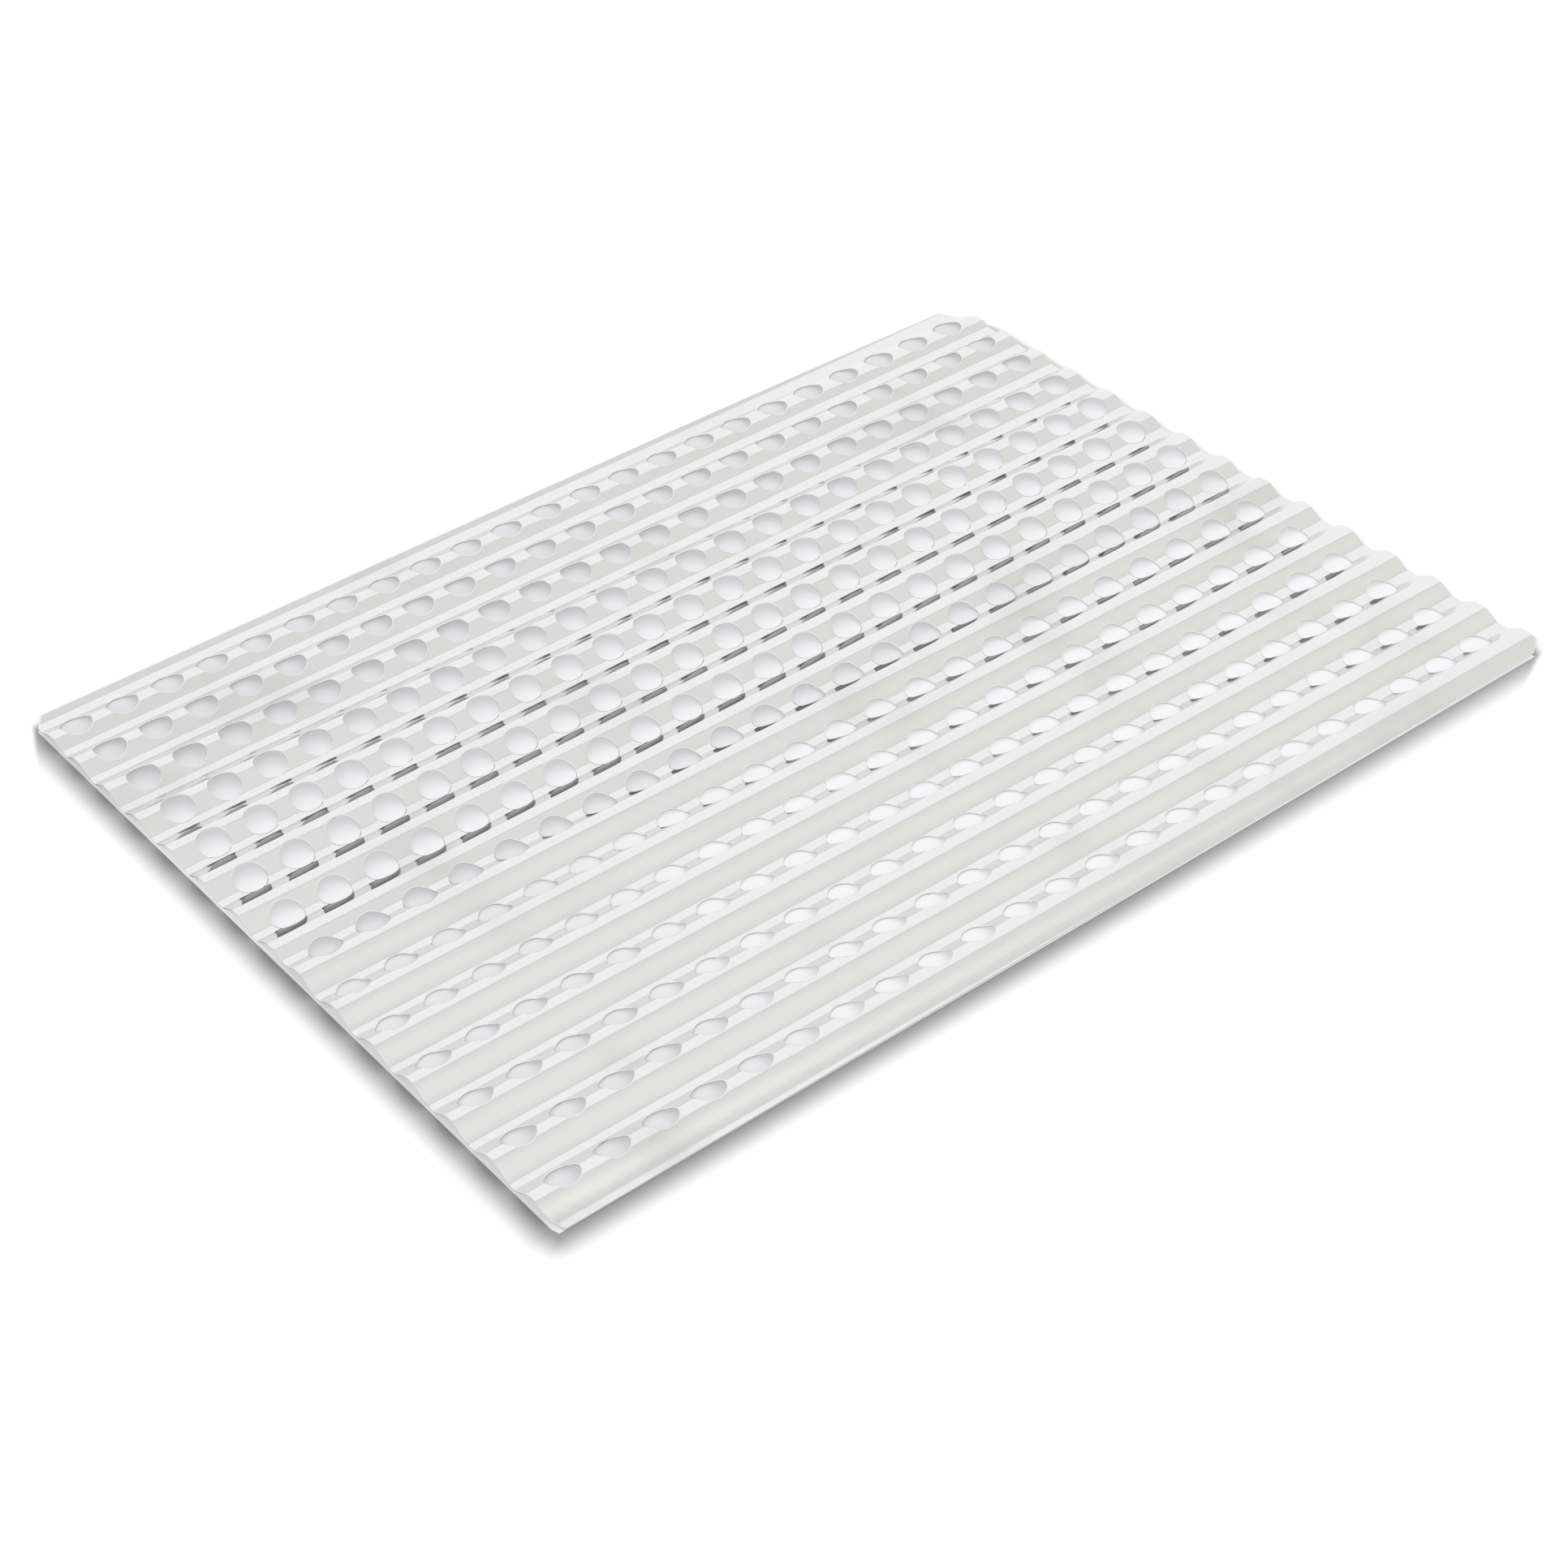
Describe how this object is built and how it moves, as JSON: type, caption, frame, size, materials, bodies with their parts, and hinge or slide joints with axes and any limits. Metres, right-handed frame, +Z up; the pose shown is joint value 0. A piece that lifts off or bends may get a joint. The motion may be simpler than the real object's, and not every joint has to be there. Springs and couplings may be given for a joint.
{
  "type": "corrugated perforated sheet",
  "caption": "Thin stainless sheet pressed into parallel ribs and pierced all over with round holes.",
  "frame": {"origin": "centre of the sheet's footprint, on the plane its valleys rest on", "axes": "+X along the ribs, +Y towards the raised lip, +Z up"},
  "size_m": [0.402, 0.292, 0.0049],
  "materials": {
    "sheet": "polished"
  },
  "bodies": {
    "root": {"corrugated_sheet": "sheet"}
  },
  "joints": []
}
